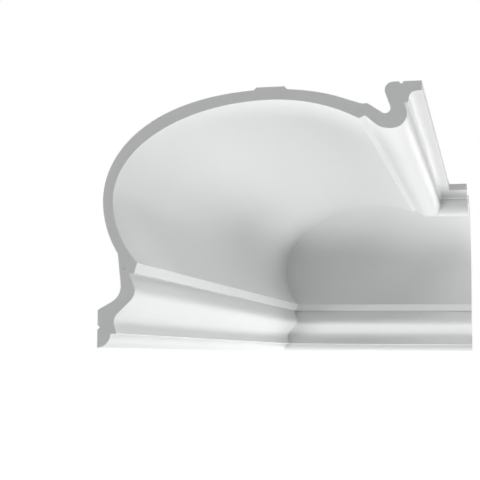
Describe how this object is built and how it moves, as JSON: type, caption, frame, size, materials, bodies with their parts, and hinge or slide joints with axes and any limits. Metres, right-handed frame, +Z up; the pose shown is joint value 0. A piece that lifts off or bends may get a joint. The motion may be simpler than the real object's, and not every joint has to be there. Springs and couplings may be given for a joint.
{
  "type": "cornice moulding section",
  "caption": "Hollow cove cornice for the angle between wall and ceiling: two lengths of one moulding, mitred together in an inside corner of a room.",
  "frame": {"origin": "foot of the room's inside corner, where the wall seats of both lengths meet", "axes": "+Z up to the ceiling, +Y into the wall behind the short run, +X along that wall; the long run lies on the wall x = 0 and runs towards -Y"},
  "size_m": [0.379, 1.094, 0.28],
  "materials": {
    "white_primer": "smooth cast foam skin under matt white primer; sawn ends show bare light grey fine-celled foam"
  },
  "bodies": {
    "root": {"long_run": "white_primer", "short_run": "white_primer"}
  },
  "joints": []
}
